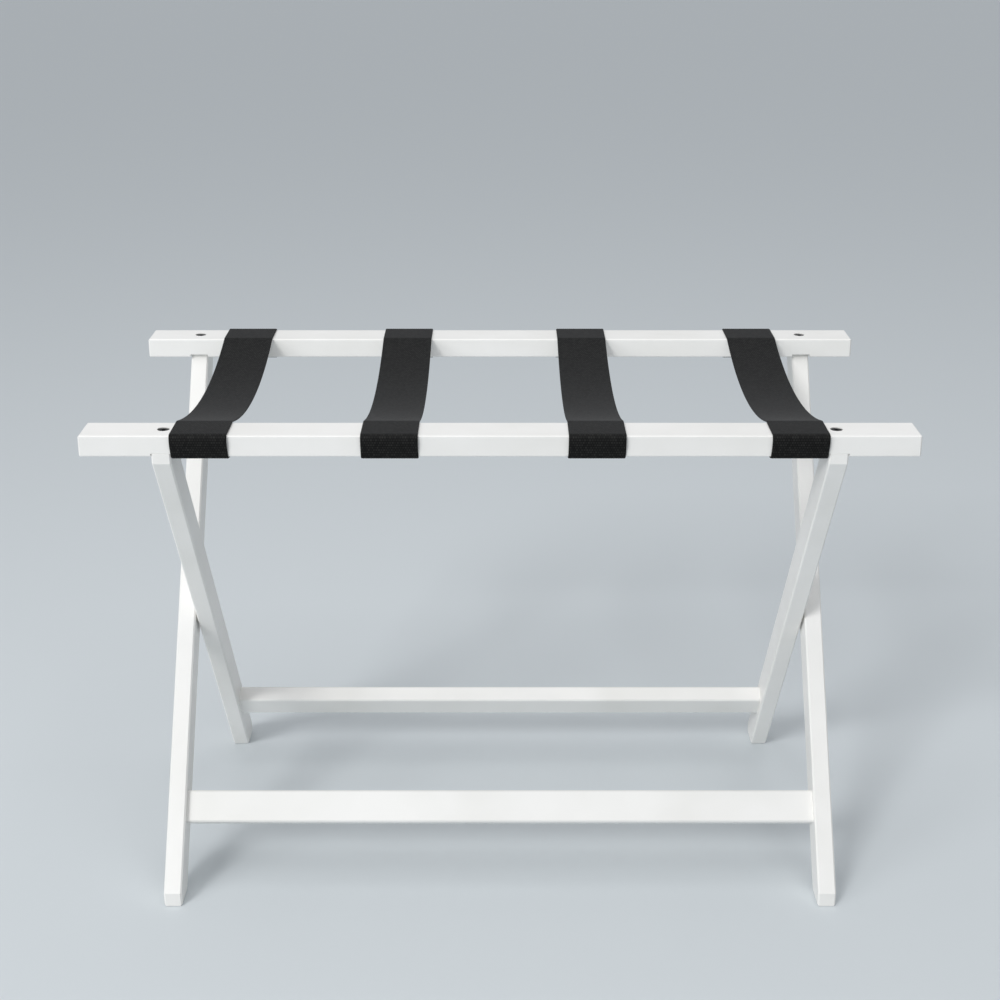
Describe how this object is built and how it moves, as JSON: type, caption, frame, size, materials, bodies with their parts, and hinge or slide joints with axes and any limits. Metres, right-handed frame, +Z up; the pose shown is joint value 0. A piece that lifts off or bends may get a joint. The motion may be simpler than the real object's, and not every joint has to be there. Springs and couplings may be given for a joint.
{
  "type": "folding luggage rack",
  "caption": "Folding luggage rack: two white wooden frames crossed in an X on pivot bolts, with black webbing straps between the top rails to carry a suitcase.",
  "frame": {"origin": "on the floor, midway between the front and rear feet and the two ends of the rails", "axes": "+X along the rails to the right, +Y from the front rail to the rear rail, +Z up"},
  "size_m": [0.762, 0.3789, 0.4978],
  "materials": {
    "painted_wood": "satin white paint on solid wood",
    "webbing": "black woven webbing",
    "black_steel": "black oxide steel",
    "bright_steel": "zinc plated steel",
    "nylon": "natural nylon",
    "dowel_wood": "bare beech"
  },
  "bodies": {
    "outer_frame": {"rear_rail": "painted_wood", "rear_rail_screws": "black_steel", "outer_stretcher": "painted_wood", "outer_stretcher_dowels": "dowel_wood", "outer_leg_left": "painted_wood", "outer_leg_right": "painted_wood", "pivot_spacers": "nylon", "strap_left": "webbing", "strap_centre_left": "webbing", "strap_centre_right": "webbing", "strap_right": "webbing", "rear_rail_staples": "bright_steel"},
    "inner_frame": {"front_rail": "painted_wood", "front_rail_screws": "black_steel", "inner_stretcher": "painted_wood", "inner_stretcher_dowels": "dowel_wood", "inner_leg_left": "painted_wood", "inner_leg_right": "painted_wood", "pivot_bolts": "black_steel", "pivot_washers": "bright_steel", "pivot_inserts": "bright_steel", "front_rail_staples": "bright_steel"}
  },
  "joints": [
    {"name": "fold", "type": "hinge", "parent": "outer_frame", "child": "inner_frame", "pos_m": [0, 0, 0.2395], "axis": [-1, 0, 0], "range_deg": [0, 58], "deforming": ["strap_left", "strap_centre_left", "strap_centre_right", "strap_right"]}
  ]
}
